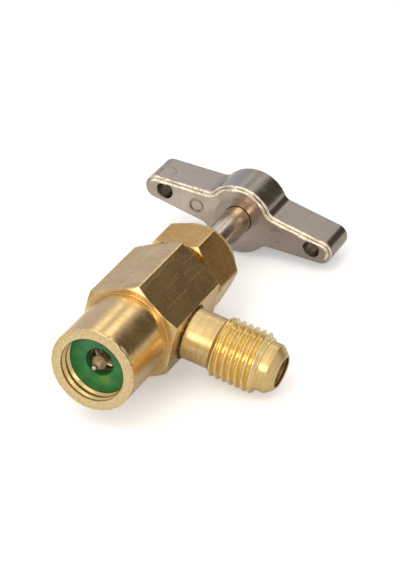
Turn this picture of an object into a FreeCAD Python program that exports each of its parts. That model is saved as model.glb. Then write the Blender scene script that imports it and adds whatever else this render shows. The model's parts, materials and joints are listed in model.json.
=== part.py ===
# Refrigerant can tap: a brass hexagon body that screws onto a gas can, a flared side port
# for a hose, and a threaded stem with a T-handle that drives the piercing needle.
# The tap's own axes: +Y runs from the can socket's mouth to the handle, +X along the side
# port. The finished pieces are then laid down as the tap comes to rest on a table.
import FreeCAD
import Part
import Sketcher
import math
import os
from types import SimpleNamespace

from FreeCAD import Placement, Rotation, Vector

# Driving dimensions in millimetres and degrees: name, value, what it is
SIZES = [
    ("socket_radius", 6.10, "can socket, at the root of its thread"),
    ("gasket_face", 2.90, "depth of the gasket's face below the mouth"),
    ("gasket_thickness", 2.00, "rubber washer at the bottom of the socket"),
    ("gasket_hole_radius", 2.50, "hole that the needle comes through"),
    ("nose_radius", 7.67, "turned nose round the socket"),
    ("nose_length", 13.20, "mouth to the hexagon's front face"),
    ("body_flats", 16.80, "hexagon bar, across the flats"),
    ("body_hex_length", 18.00, "hexagon from front to rear face"),
    ("body_chamfer_land", 0.33, "flat to the start of the corner chamfer"),
    ("chamfer_slope", 0.577, "rise of a 30 degree corner chamfer"),
    ("passage_radius", 2.32, "drilling that the needle's fins run in"),
    ("passage_length", 11.60, "gasket seat to the wider chamber"),
    ("chamber_radius", 2.90, "chamber that the side port opens into"),
    ("chamber_end", 29.50, "mouth to the start of the stem's thread"),
    ("stem_thread_radius", 4.00, "M8 thread that drives the stem"),
    ("thread_pitch", 1.25, "travel of the stem in one turn"),
    ("boss_radius", 5.95, "threaded boss under the packing nut"),
    ("boss_length", 7.70, "hexagon's rear face to the boss's end"),
    ("port_position", 21.07, "side port's axis, from the mouth"),
    ("port_drilling_radius", 2.00, "cross drilling into the chamber"),
    ("port_tenon_length", 3.60, "depth that the end is set in"),
    ("port_neck_radius", 4.66, "plain neck between body and thread"),
    ("port_neck_length", 5.00, "hexagon's face to the thread's ramp"),
    ("port_ramp_length", 1.15, "turned ramp up to the thread"),
    ("port_thread_radius", 5.555, "7/16 inch flare thread, outside"),
    ("port_thread_length", 7.75, "full thread"),
    ("port_runout_length", 0.75, "end chamfer of the thread"),
    ("port_pilot_radius", 4.49, "plain cylinder behind the flare cone"),
    ("port_pilot_length", 1.55, "length of that cylinder"),
    ("port_cone_length", 1.40, "45 degree flare cone"),
    ("port_mouth_radius", 2.73, "first step of the outlet"),
    ("port_mouth_depth", 1.00, "depth of that step"),
    ("port_bore_radius", 2.40, "outlet bore"),
    ("braze_height", 0.50, "joint fillet along the neck"),
    ("braze_width", 0.55, "joint fillet along the hexagon's face"),
    ("joint_clearance", 0.02, "gap left in joints that do not move"),
    ("needle_tip_depth", 0.65, "needle's point below the mouth, with the needle drawn back"),
    ("needle_tip_radius", 0.45, "blunt point"),
    ("needle_point_length", 1.10, "slim point ahead of the cone"),
    ("needle_point_radius", 0.55, "slim point at its root"),
    ("needle_cone_length", 1.15, "piercing cone"),
    ("needle_cone_radius", 1.40, "piercing cone at its root"),
    ("needle_core_radius", 1.20, "round core between the fins"),
    ("fin_length", 9.50, "guide fins, from the cone's root to the stem"),
    ("fin_thickness", 0.55, "thickness of a fin"),
    ("fin_turn", -5.0, "how far the fins are turned about the axis"),
    ("needle_root_radius", 1.10, "spigot that swivels in the stem"),
    ("needle_root_length", 4.00, "length of that spigot"),
    ("stem_front_radius", 1.85, "slim front of the stem"),
    ("stem_front_length", 18.40, "slim front of the stem"),
    ("collar_radius", 3.95, "threaded collar of the stem"),
    ("collar_length", 4.10, "length of the collar"),
    ("stem_radius", 2.66, "plain stem through the packing nut"),
    ("running_clearance", 0.06, "radial gap round the turning stem"),
    ("washer_thickness", 0.50, "brass washer on the boss's end"),
    ("packing_thickness", 0.80, "rubber packing"),
    ("follower_thickness", 0.50, "gland ring that squeezes the packing"),
    ("nut_flats", 14.74, "packing nut, across the flats"),
    ("nut_gap", 2.00, "hexagon's rear face to the nut"),
    ("nut_length", 9.51, "packing nut, front to rear face"),
    ("nut_bore_radius", 6.00, "nut's thread, at its root"),
    ("nut_chamfer_land", 0.45, "flat to the start of the front chamfer"),
    ("nut_dome_height", 2.45, "turned slope at the nut's rear, at its corners"),
    ("nut_rear_radius", 7.00, "nut's flat rear face"),
    ("nut_turn", 14.85, "how far the nut is turned from the body's flats"),
    ("handle_gap", 16.00, "nut's rear face to the handle"),
    ("handle_depth", 8.31, "handle, front to rear"),
    ("hub_radius", 6.76, "handle's hub"),
    ("wing_root_height", 3.81, "half height of a wing, carried on to the axis"),
    ("wing_end_height", 2.24, "half height of a wing at its rounded end"),
    ("handle_length", 38.00, "handle, end to end"),
    ("handle_edge", 0.40, "cast bevel of the handle's edges"),
    ("root_round", 0.80, "fillet between hub and wing"),
    ("handle_hole_spacing", 30.04, "between the two holes in the wings"),
    ("handle_hole_radius", 1.53, "holes in the wings"),
    ("hub_dish_radius", 4.50, "shallow dish round the stem in the hub's front"),
    ("hub_dish_depth", 0.30, "depth of that dish"),
    ("handle_turn", -1.48, "how far the handle stands turned from the side port"),
]

HEX_CORNER = 1 / math.sqrt(3)  # corner radius of a hexagon for each unit across its flats
CUT_MARGIN = 1.0               # how far a cutting profile stands out past the metal
SETTLE_ROUNDS = 12             # enough for the resting pose to settle to a micrometre
AXIS = Vector(0, 1, 0)


class Length:
    """A size that carries both its number and the formula that ties it to the sheet."""

    def __init__(self, value, formula=None):
        self.value = float(value)
        self.formula = formula or f"{self.value:.6f}"

    def _combine(self, other, sign, value):
        return Length(value, f"({self.formula} {sign} {other.formula})")

    def __add__(self, other):
        other = as_length(other)
        return self._combine(other, "+", self.value + other.value)

    def __sub__(self, other):
        other = as_length(other)
        return self._combine(other, "-", self.value - other.value)

    def __mul__(self, other):
        other = as_length(other)
        return self._combine(other, "*", self.value * other.value)

    def __truediv__(self, other):
        other = as_length(other)
        return self._combine(other, "/", self.value / other.value)

    def __neg__(self):
        return Length(-self.value, f"(0 - {self.formula})")


def as_length(thing):
    return thing if isinstance(thing, Length) else Length(thing)


def make_sheet(doc):
    """Write the driving dimensions to a sheet and return them as bound lengths."""
    sheet = doc.addObject("Spreadsheet::Sheet", "sizes")
    for row, (name, value, meaning) in enumerate(SIZES, start=1):
        sheet.set(f"A{row}", name)
        sheet.set(f"B{row}", str(value))
        sheet.set(f"C{row}", meaning)
        sheet.setAlias(f"B{row}", name)
    doc.recompute()
    names = [name for name, _, _ in SIZES]
    return SimpleNamespace(**{n: Length(sheet.get(n), f"sizes.{n}") for n in names})


def add_places(size):
    """Work out the stations along the tap from the driving dimensions."""
    size.gasket_seat = size.gasket_face + size.gasket_thickness
    size.hex_front = size.nose_length
    size.hex_rear = size.hex_front + size.body_hex_length
    size.boss_end = size.hex_rear + size.boss_length
    size.nut_front = size.hex_rear + size.nut_gap
    size.nut_rear = size.nut_front + size.nut_length
    size.washer_rear = size.boss_end + size.washer_thickness
    size.packing_rear = size.washer_rear + size.packing_thickness
    size.follower_rear = size.packing_rear + size.follower_thickness
    size.stem_hole_radius = size.stem_radius + size.running_clearance
    size.gland_radius = size.nut_bore_radius - size.joint_clearance
    size.fins_front = (
        size.needle_tip_depth + size.needle_point_length + size.needle_cone_length
    )
    size.fins_rear = size.fins_front + size.fin_length
    size.stem_front = size.fins_rear + size.running_clearance
    size.collar_front = size.stem_front + size.stem_front_length
    size.collar_rear = size.collar_front + size.collar_length
    size.handle_front = size.nut_rear + size.handle_gap
    size.handle_rear = size.handle_front + size.handle_depth
    size.body_face = size.body_flats / 2
    size.port_thread_start = size.body_face + size.port_neck_length + size.port_ramp_length
    size.port_thread_end = size.port_thread_start + size.port_thread_length
    size.port_pilot_start = size.port_thread_end + size.port_runout_length
    size.port_cone_start = size.port_pilot_start + size.port_pilot_length
    size.port_tip = size.port_cone_start + size.port_cone_length


def new_body(doc, label):
    body = doc.addObject("PartDesign::Body", label)
    body.Label = label
    return body


def origin_plane(body, role):
    return next(f for f in body.Origin.OriginFeatures if f.Role == role)


def attach(feature, body, role):
    feature.AttachmentSupport = (origin_plane(body, role), [""])
    feature.MapMode = "FlatFace"


def bind(feature, path, length):
    feature.setExpression(path, as_length(length).formula)


def arc_through(start, end, radius, side):
    """Arc of a given radius between two points; side 1 bulges to the left of their line."""
    chord = end - start
    sagitta = radius - math.sqrt(radius**2 - (chord.Length / 2) ** 2)
    left = Vector(-chord.y, chord.x, 0).normalize()
    middle = (start + end) * 0.5 + left * (side * sagitta)
    return Part.Arc(start, middle, end)


def end_at(sketch, edge, point):
    """Which end of a sketch edge, 1 or 2, lies at this point."""
    return min((1, 2), key=lambda end: sketch.getPoint(edge, end).distanceToPoint(point))


def tie(sketch, kind, edge, end, length, axis):
    """Tie one point of an edge to its distance from one of the sketch's axes."""
    if length.value == 0:
        sketch.addConstraint(Sketcher.Constraint("PointOnObject", edge, end, axis))
        return
    index = sketch.addConstraint(Sketcher.Constraint(kind, -1, 1, edge, end, length.value))
    sketch.setExpression(f"Constraints[{index}]", length.formula)


def hold_across(sketch, edge, end, across):
    tie(sketch, "DistanceX", edge, end, across, -2)


def hold(sketch, edge, end, across, up):
    """Tie one point of an edge to its place, measured from the sketch's origin."""
    hold_across(sketch, edge, end, across)
    tie(sketch, "DistanceY", edge, end, up, -1)


def outline(body, name, corners, role="XY_Plane"):
    """Closed sketch through the corners, each (across, up) or (across, up, radius, side).

    A corner with a radius starts a half circle to the next corner; the others start a line.
    """
    sketch = body.newObject("Sketcher::SketchObject", name)
    attach(sketch, body, role)
    places = [(as_length(c[0]), as_length(c[1])) for c in corners]
    points = [Vector(across.value, up.value, 0) for across, up in places]
    edges = []
    for here, corner in enumerate(corners):
        start, end = points[here], points[(here + 1) % len(points)]
        if len(corner) == 2:
            edges.append(sketch.addGeometry(Part.LineSegment(start, end)))
            continue
        radius = as_length(corner[2])
        edges.append(sketch.addGeometry(arc_through(start, end, radius.value, corner[3])))
        hold_across(sketch, edges[-1], 3, places[here][0])
    for here, (across, up) in enumerate(places):
        edge, before = edges[here], edges[here - 1]
        first = end_at(sketch, edge, points[here])
        last = end_at(sketch, before, points[here])
        sketch.addConstraint(Sketcher.Constraint("Coincident", before, last, edge, first))
        hold(sketch, edge, first, across, up)
    return sketch


def ring_sketch(body, name, role, radius, across=0, up=0):
    """Sketch with one circle, its centre measured from the sketch's origin."""
    sketch = body.newObject("Sketcher::SketchObject", name)
    attach(sketch, body, role)
    across, up = as_length(across), as_length(up)
    centre = Vector(across.value, up.value, 0)
    circle = sketch.addGeometry(Part.Circle(centre, Vector(0, 0, 1), radius.value))
    index = sketch.addConstraint(Sketcher.Constraint("Radius", circle, radius.value))
    sketch.setExpression(f"Constraints[{index}]", radius.formula)
    hold(sketch, circle, 3, across, up)
    return sketch


def turn_profile(body, kind, sketch, axis="V_Axis"):
    """Revolve a sketch all round, as added metal or as a cut."""
    feature = body.newObject(f"PartDesign::{kind}", sketch.Name + "_turned")
    feature.Profile = sketch
    feature.ReferenceAxis = (sketch, [axis])
    feature.Angle = 360
    return feature


def turned_body(doc, label, corners, axis="V_Axis"):
    """A piece made by turning one profile about the tap's axis or the port's."""
    body = new_body(doc, label)
    sketch = outline(body, label + "_profile", corners)
    turn_profile(body, "Revolution", sketch, axis)
    return body, sketch


def hexagon_bar(body, name, flats, front, length):
    """Hexagon bar along the tap's axis, with two of its flats facing along X."""
    prism = body.newObject("PartDesign::AdditivePrism", name)
    attach(prism, body, "XZ_Plane")
    prism.MapReversed = True
    prism.Polygon = 6
    prism.AttachmentOffset = Placement(Vector(), Rotation(Vector(0, 0, 1), 30))
    bind(prism, "Circumradius", flats * HEX_CORNER)
    bind(prism, "Height", length)
    bind(prism, "AttachmentOffset.Base.z", front)
    return prism


def corner_chamfer(size, flats, land, face, way):
    """Turning profile that takes the hexagon's corners off at one face."""
    start = flats / 2 + land
    outside = flats * HEX_CORNER + CUT_MARGIN
    rise = (outside - start) * size.chamfer_slope
    inner = face + rise if way > 0 else face - rise
    return [(start, face), (outside, face), (outside, inner)]


def make_valve_body(doc, size):
    body = new_body(doc, "valve_body")
    hexagon_bar(body, "body_hexagon", size.body_flats, size.hex_front, size.body_hex_length)
    for name, face, way in (("front", size.hex_front, 1), ("rear", size.hex_rear, -1)):
        corners = corner_chamfer(size, size.body_flats, size.body_chamfer_land, face, way)
        turn_profile(body, "Groove", outline(body, f"body_{name}_chamfer", corners))
    nose = [
        (0, 0),
        (size.nose_radius, 0),
        (size.nose_radius, size.hex_front + CUT_MARGIN),
        (0, size.hex_front + CUT_MARGIN),
    ]
    turn_profile(body, "Revolution", outline(body, "nose", nose))
    boss = [
        (0, size.hex_rear - CUT_MARGIN),
        (size.boss_radius, size.hex_rear - CUT_MARGIN),
        (size.boss_radius, size.boss_end),
        (0, size.boss_end),
    ]
    turn_profile(body, "Revolution", outline(body, "boss", boss))
    passage_end = size.gasket_seat + size.passage_length
    bore = [
        (0, 0),
        (size.socket_radius, 0),
        (size.socket_radius, size.gasket_seat),
        (size.passage_radius, size.gasket_seat),
        (size.passage_radius, passage_end),
        (size.chamber_radius, passage_end),
        (size.chamber_radius, size.chamber_end),
        (size.stem_thread_radius, size.chamber_end),
        (size.stem_thread_radius, size.boss_end),
        (0, size.boss_end),
    ]
    turn_profile(body, "Groove", outline(body, "bore", bore))
    tenon_seat = size.body_face - size.port_tenon_length
    socket_radius = size.port_neck_radius + size.joint_clearance
    socket_depth = size.port_tenon_length * 2
    drilling = size.port_drilling_radius
    drill_into(body, "port_socket", socket_radius, size.port_position, tenon_seat, socket_depth)
    drill_into(body, "port_drilling", drilling, size.port_position, as_length(0), size.body_face)
    return body


def drill_into(body, name, radius, position, start, depth):
    """Round hole along +X from a start point out through the hexagon's flat."""
    sketch = ring_sketch(body, name, "YZ_Plane", radius, position, 0)
    bind(sketch, "AttachmentOffset.Base.z", start)
    pocket = body.newObject("PartDesign::Pocket", name + "_cut")
    pocket.Profile = sketch
    pocket.Reversed = True
    bind(pocket, "Length", depth)
    return pocket


def make_side_port(doc, size):
    """Flared hose port, one turned piece whose stepped end is set in the body."""
    thread_foot = size.port_thread_start - size.port_ramp_length
    tip_radius = size.port_pilot_radius - size.port_cone_length
    seat = size.body_face - size.port_tenon_length
    step = size.port_tip - size.port_mouth_depth
    corners = [
        (seat, size.port_bore_radius),
        (seat, size.port_neck_radius),
        (thread_foot, size.port_neck_radius),
        (size.port_thread_start, size.port_thread_radius),
        (size.port_thread_end, size.port_thread_radius),
        (size.port_pilot_start, size.port_pilot_radius),
        (size.port_cone_start, size.port_pilot_radius),
        (size.port_tip, tip_radius),
        (size.port_tip, size.port_mouth_radius),
        (step, size.port_mouth_radius),
        (step, size.port_bore_radius),
    ]
    body, sketch = turned_body(doc, "side_port", corners, "H_Axis")
    bind(sketch, "AttachmentOffset.Base.y", size.port_position)
    return body


def make_port_joint(doc, size):
    """Fillet of brazing metal round the foot of the side port."""
    foot = size.port_neck_radius + size.joint_clearance
    corners = [
        (size.body_face, foot),
        (size.body_face, foot + size.braze_width),
        (size.body_face + size.braze_height, foot),
    ]
    body, sketch = turned_body(doc, "port_joint", corners, "H_Axis")
    bind(sketch, "AttachmentOffset.Base.y", size.port_position)
    return body


def make_piercing_needle(doc, size):
    """Pointed needle with three fins that guide it and leave room for the gas."""
    tip = size.needle_tip_depth
    point_root = tip + size.needle_point_length
    root_end = size.fins_rear + size.needle_root_length
    fin_reach = size.passage_radius - size.running_clearance
    corners = [
        (0, tip),
        (size.needle_tip_radius, tip),
        (size.needle_point_radius, point_root),
        (size.needle_cone_radius, size.fins_front),
        (size.needle_core_radius, size.fins_front),
        (size.needle_core_radius, size.fins_rear),
        (size.needle_root_radius, size.fins_rear),
        (size.needle_root_radius, root_end),
        (0, root_end),
    ]
    body = turned_body(doc, "piercing_needle", corners)[0]
    half = size.fin_thickness / 2
    fin = outline(
        body,
        "fin",
        [(0, -half), (fin_reach, -half), (fin_reach, half), (0, half)],
        "XZ_Plane",
    )
    fin.MapReversed = True
    bind(fin, "AttachmentOffset.Base.z", size.fins_front)
    pad = body.newObject("PartDesign::Pad", "fin_pad")
    pad.Profile = fin
    bind(pad, "Length", size.fin_length)
    pattern = body.newObject("PartDesign::PolarPattern", "fins")
    pattern.Originals = [pad]
    pattern.Axis = (fin, ["N_Axis"])
    pattern.Angle = 360
    pattern.Occurrences = 3
    body.Tip = pattern
    return body


def make_stem(doc, size):
    """Steel spindle: slim front, threaded collar and plain shank."""
    hole = size.needle_root_radius + size.running_clearance
    hole_end = size.fins_rear + size.needle_root_length + size.running_clearance
    corners = [
        (0, hole_end),
        (hole, hole_end),
        (hole, size.stem_front),
        (size.stem_front_radius, size.stem_front),
        (size.stem_front_radius, size.collar_front),
        (size.collar_radius, size.collar_front),
        (size.collar_radius, size.collar_rear),
        (size.stem_radius, size.collar_rear),
        (size.stem_radius, size.handle_rear),
        (0, size.handle_rear),
    ]
    return turned_body(doc, "stem", corners)[0]


def make_ring(doc, label, inner, outer, front, rear):
    corners = [(inner, front), (outer, front), (outer, rear), (inner, rear)]
    return turned_body(doc, label, corners)[0]


def make_packing_nut(doc, size):
    body = new_body(doc, "packing_nut")
    hexagon_bar(body, "nut_hexagon", size.nut_flats, size.nut_front, size.nut_length)
    chamfer = corner_chamfer(size, size.nut_flats, size.nut_chamfer_land, size.nut_front, 1)
    turn_profile(body, "Groove", outline(body, "nut_front_chamfer", chamfer))
    outside = size.nut_flats * HEX_CORNER
    dome = [
        (size.nut_rear_radius, size.nut_rear),
        (outside, size.nut_rear - size.nut_dome_height),
        (outside + CUT_MARGIN, size.nut_rear - size.nut_dome_height),
        (outside + CUT_MARGIN, size.nut_rear),
    ]
    turn_profile(body, "Groove", outline(body, "nut_dome", dome))
    bore = [
        (0, size.nut_front),
        (size.nut_bore_radius, size.nut_front),
        (size.nut_bore_radius, size.follower_rear),
        (size.stem_hole_radius, size.follower_rear),
        (size.stem_hole_radius, size.nut_rear),
        (0, size.nut_rear),
    ]
    turn_profile(body, "Groove", outline(body, "nut_bore", bore))
    return body


def edges_across(shape, station):
    """Names of the edges that lie wholly in the plane across the axis at a station."""
    names = []
    for number, edge in enumerate(shape.Edges, start=1):
        box = edge.BoundBox
        if abs(box.YMin - station) < 1e-4 and abs(box.YMax - station) < 1e-4:
            names.append(f"Edge{number}")
    return names


def edges_along_root(shape, size):
    """Names of the four edges along the axis where the wings leave the hub."""
    names = []
    for number, edge in enumerate(shape.Edges, start=1):
        box = edge.BoundBox
        along = box.YLength > size.handle_depth.value * 0.9
        off_axis = math.hypot(box.Center.x, box.Center.z)
        if along and abs(off_axis - size.hub_radius.value) < 1e-3:
            names.append(f"Edge{number}")
    return names


def make_t_handle(doc, size):
    """Die-cast handle: a round hub with two wings that taper to rounded ends."""
    body = new_body(doc, "t_handle")
    end = size.handle_length / 2 - size.wing_end_height
    root, tip = size.wing_root_height, size.wing_end_height
    slope = (root - tip) / end
    wings = [
        (-end, -tip),
        (0, -tip - slope * end),
        (end, -tip, tip, -1),
        (end, tip),
        (0, tip + slope * end),
        (-end, tip, tip, -1),
    ]
    depth = size.handle_depth
    for name, sketch in (
        ("hub", ring_sketch(body, "hub_outline", "XZ_Plane", size.hub_radius)),
        ("wings", outline(body, "wing_outline", wings, "XZ_Plane")),
    ):
        sketch.MapReversed = True
        bind(sketch, "AttachmentOffset.Base.z", size.handle_front)
        pad = body.newObject("PartDesign::Pad", name)
        pad.Profile = sketch
        bind(pad, "Length", depth)
    doc.recompute()
    corners = edges_along_root(body.Shape, size)
    roots = add_dressing(body, "Fillet", "wing_roots", corners, "Radius", size.root_round)
    doc.recompute()
    stations = (size.handle_front.value, size.handle_rear.value)
    rims = [name for station in stations for name in edges_across(roots.Shape, station)]
    add_dressing(body, "Chamfer", "cast_edges", rims, "Size", size.handle_edge)
    for name, side in (("left_hole", -1), ("right_hole", 1)):
        across = size.handle_hole_spacing * (side / 2)
        sketch = ring_sketch(body, name, "XZ_Plane", size.handle_hole_radius, across, 0)
        pocket = body.newObject("PartDesign::Pocket", name + "_cut")
        pocket.Profile = sketch
        pocket.Type = "ThroughAll"
    dish_floor = size.handle_front + size.hub_dish_depth
    hole = size.stem_radius + size.joint_clearance
    bore = [
        (0, size.handle_front),
        (size.hub_dish_radius, size.handle_front),
        (size.hub_dish_radius, dish_floor),
        (hole, dish_floor),
        (hole, size.handle_rear),
        (0, size.handle_rear),
    ]
    turn_profile(body, "Groove", outline(body, "hub_bore", bore))
    return body


def add_dressing(body, kind, name, edges, path, length):
    """Fillet or chamfer the named edges of the body as it stands."""
    base = body.Tip
    dressing = body.newObject(f"PartDesign::{kind}", name)
    dressing.Base = (base, edges)
    bind(dressing, path, length)
    return dressing


def low_point(centre, axis, radius, up):
    """Lowest point of a circle, seen along the up direction."""
    down = axis * axis.dot(up) - up
    return centre + down.normalize() * radius


def resting_placement(size):
    """Lay the tap on its three lowest points: hexagon ridge, port thread and handle hub."""
    ridge_radius = size.body_flats.value * HEX_CORNER
    chamfer = ridge_radius - size.body_face.value - size.body_chamfer_land.value
    ridge_end = size.hex_rear.value - chamfer * size.chamfer_slope.value
    ridge = Vector(0, ridge_end, -ridge_radius)
    thread_end = Vector(size.port_thread_end.value, size.port_position.value, 0)
    hub = Vector(0, size.handle_rear.value - size.handle_edge.value, 0)
    up = Vector(0, 0, 1)
    for _ in range(SETTLE_ROUNDS):
        port = low_point(thread_end, Vector(1, 0, 0), size.port_thread_radius.value, up)
        back = low_point(hub, AXIS, size.hub_radius.value, up)
        up = (port - ridge).cross(back - ridge).normalize()
    ahead = (AXIS - up * AXIS.dot(up)).normalize()
    right = ahead.cross(up)
    turn = Rotation(right, ahead, up, "ZXY").inverted()
    lift = -turn.multVec(ridge).z
    return Placement(Vector(0, 0, lift), turn)


def lay_down(pieces, turns, size):
    """Place every piece as the tap lies, with the origin under the middle of its box."""
    rest = resting_placement(size)
    box = FreeCAD.BoundBox()
    for piece in pieces:
        turn = Placement(Vector(), Rotation(AXIS, turns.get(piece.Label, 0.0)))
        piece.Placement = rest.multiply(turn).multiply(piece.Placement)
        box.add(piece.Shape.optimalBoundingBox())
    shift = Vector(-box.Center.x, -box.Center.y, 0)
    for piece in pieces:
        piece.Placement = Placement(shift, Rotation()).multiply(piece.Placement)


def check(doc, pieces):
    """Stop before anything is written if a feature failed or a shape is not sound."""
    for item in doc.Objects:
        if "Invalid" in item.State or "Error" in item.State:
            raise RuntimeError(f"{item.Label} did not build: {item.State}")
    for piece in pieces:
        shape = piece.Shape
        if shape.isNull() or not shape.isValid() or not shape.Solids:
            raise RuntimeError(f"{piece.Label} has no sound solid")


def main():
    doc = FreeCAD.newDocument("can_tap")
    size = make_sheet(doc)
    add_places(size)
    gland = size.gland_radius
    hole = size.stem_hole_radius
    pieces = [
        make_valve_body(doc, size),
        make_side_port(doc, size),
        make_port_joint(doc, size),
        make_ring(
            doc,
            "can_gasket",
            size.gasket_hole_radius,
            size.socket_radius - size.joint_clearance,
            size.gasket_face,
            size.gasket_seat,
        ),
        make_piercing_needle(doc, size),
        make_stem(doc, size),
        make_ring(doc, "packing_washer", hole, gland, size.boss_end, size.washer_rear),
        make_ring(doc, "stem_packing", hole, gland, size.washer_rear, size.packing_rear),
        make_ring(doc, "gland_follower", hole, gland, size.packing_rear, size.follower_rear),
        make_packing_nut(doc, size),
        make_t_handle(doc, size),
    ]
    doc.recompute()
    check(doc, pieces)
    turns = {
        "packing_nut": size.nut_turn.value,
        "piercing_needle": size.fin_turn.value,
        "t_handle": size.handle_turn.value,
    }
    lay_down(pieces, turns, size)
    doc.recompute()
    check(doc, pieces)
    os.makedirs("parts", exist_ok=True)
    for piece in pieces:
        piece.Shape.exportStep(f"parts/{piece.Label}.step")
        print(piece.Label, "volume", round(piece.Shape.Volume, 2))


main()
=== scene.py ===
"""Looks of a refrigerant can tap: brass body and nut, flared port, plated stem and T-handle.

Every piece is shaped in millimetres in the tap's own axes and then laid into the frame. The
tap's +Y runs from the can socket's mouth to the handle and its +X along the side port.
"""

import json
import logging
import math
from dataclasses import dataclass, field
from enum import Enum
from typing import Callable, Iterable, Sequence, Union

import bmesh
import bpy
from mathutils import Matrix, Vector, noise


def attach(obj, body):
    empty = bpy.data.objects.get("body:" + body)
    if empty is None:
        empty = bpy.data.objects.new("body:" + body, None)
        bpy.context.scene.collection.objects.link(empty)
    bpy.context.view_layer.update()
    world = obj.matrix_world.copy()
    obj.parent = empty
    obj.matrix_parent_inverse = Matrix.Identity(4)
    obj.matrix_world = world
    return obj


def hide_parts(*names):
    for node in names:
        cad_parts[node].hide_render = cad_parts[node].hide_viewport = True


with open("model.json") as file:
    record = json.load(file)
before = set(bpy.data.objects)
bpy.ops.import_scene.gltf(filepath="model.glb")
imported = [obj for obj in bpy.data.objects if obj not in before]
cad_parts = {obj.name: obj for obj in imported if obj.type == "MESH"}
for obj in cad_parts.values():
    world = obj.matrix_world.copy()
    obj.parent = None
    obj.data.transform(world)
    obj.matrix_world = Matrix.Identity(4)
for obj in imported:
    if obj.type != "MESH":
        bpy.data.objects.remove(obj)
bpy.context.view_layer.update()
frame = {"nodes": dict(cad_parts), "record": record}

MM = 0.001
PLANE_AREA = 2.9e-6  # faces larger than this, in square metres, are planes and are shaded flat
SQUARE = 0.985  # faces that look this nearly along the tap are planes too
PORT_ALONG = 21.07  # place of the side port's axis
PORT_THREAD_MIDDLE = 18.425  # middle of the port's thread, where its mount stands
BUMP_DISTANCE = 0.00005  # height of the tool marks, in metres
FINER = 4.5  # how much finer the second layer of tool marks is
SIXTH = math.pi / 3
ORIGIN = Vector((0, 0, 0))
ALONG = Vector((0, 1, 0))
LOG = logging.getLogger("can_tap")

Colour = tuple[float, float, float]
Screen = tuple[int, int, int]
Place = tuple[float, float, float]
RadiusRule = Callable[[float, float, float], float]
Socket = bpy.types.NodeSocket
Value = Union[bpy.types.NodeSocket, float, tuple]


def srgb(screen: Screen) -> Colour:
    """Linear colour of an eight-bit screen colour.

    Args:
        screen: red, green and blue, from 0 to 255.

    Returns:
        The colour as the shaders take it.
    """
    shares = [channel / 255 for channel in screen]
    return tuple(c / 12.92 if c <= 0.04045 else ((c + 0.055) / 1.055) ** 2.4 for c in shares)


def clamp(value: float) -> float:
    """Value kept between 0 and 1."""
    return min(max(value, 0.0), 1.0)


@dataclass(frozen=True)
class TapAxes:
    """The tap's own axes in the frame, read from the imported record's interfaces."""

    lie: Matrix

    @classmethod
    def from_record(cls, record: dict) -> "TapAxes":
        """Find the axes from the handle's hinge and the hose thread.

        Args:
            record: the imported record.

        Returns:
            The axes, with a matrix that takes millimetres on the tap to metres in the frame.
        """
        hinge = next(j for j in record["behaviour"]["joints"] if j["type"] == "hinge")
        hose = next(m for m in record["mounts"] if m["name"] == "hose_thread")
        along = Vector(hinge["axis"]).normalized()
        port = Vector(hose["axis"]).normalized()
        above = port.cross(along)
        origin = Vector(hose["pos_m"]) - (port * PORT_THREAD_MIDDLE + along * PORT_ALONG) * MM
        turn = Matrix((port, along, above)).transposed().to_4x4()
        return cls(Matrix.Translation(origin) @ turn @ Matrix.Scale(MM, 4))

    def point(self, across: float, along: float, above: float) -> Vector:
        """Place of a point of the tap, given in millimetres, in the frame."""
        return self.lie @ Vector((across, along, above))

    def direction(self, across: float, along: float, above: float) -> Vector:
        """Direction of the tap's own axes in the frame."""
        return (self.lie.to_3x3() @ Vector((across, along, above))).normalized()


AXES = TapAxes.from_record(frame["record"])


class Axis(Enum):
    """What a turned piece is turned about."""

    BODY = "body"
    PORT = "port"

    def beside(self, radius: float, along: float) -> Vector:
        """Place of a profile's corner before it is turned."""
        return Vector((radius, along, 0) if self is Axis.BODY else (along, PORT_ALONG + radius, 0))

    def polar(self, place: Vector) -> tuple[float, float, float]:
        """Radius and angle round the axis and distance along it.

        Args:
            place: a point of the tap.

        Returns:
            The radius, the angle in radians and the distance.
        """
        x, y, z = place
        if self is Axis.BODY:
            return math.hypot(x, z), math.atan2(x, z), y
        return math.hypot(y - PORT_ALONG, z), math.atan2(z, y - PORT_ALONG), x

    def place(self, radius: float, angle: float, along: float) -> Vector:
        """Point with a radius and an angle round the axis and a distance along it."""
        first, second = radius * math.cos(angle), radius * math.sin(angle)
        return Vector((second, along, first) if self is Axis.BODY else (along, PORT_ALONG + first, second))


@dataclass(frozen=True)
class Station:
    """One corner of a turned profile.

    Attributes:
        radius, along: place of the corner, in millimetres.
        rounding: how far the corner is rounded off.
        cuts: rings put into the stretch to the next corner.
    """

    radius: float
    along: float
    rounding: float = 0.0
    cuts: int = 0


Profile = Sequence[tuple[float, ...]]


@dataclass(frozen=True)
class Thread:
    """A screw thread, as a rule for the radius round a turned piece.

    Attributes:
        crest, root: radii of the thread's top and bottom.
        pitch: advance in one turn.
        crest_share, root_share: parts of the pitch that are flat.
        start: where along the axis a crest stands at angle zero.
        softness: how far the flanks swing into crest and root.
    """

    crest: float
    root: float
    pitch: float
    crest_share: float
    root_share: float
    start: float
    softness: float = 0.35

    def radius(self, angle: float, along: float) -> float:
        """Radius of the thread at one place.

        Args:
            angle, along: the place round and along the axis.

        Returns:
            The radius.
        """
        phase = ((along - self.start) / self.pitch - angle / math.tau) % 1.0
        off_crest = 1 - abs(phase - 0.5) * 2
        flank = 1 - self.crest_share - self.root_share
        straight = clamp((off_crest - self.crest_share) / flank)
        swung = straight * straight * (3 - 2 * straight)
        depth = swung * self.softness + straight * (1 - self.softness)
        return self.crest + (self.root - self.crest) * depth


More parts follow.
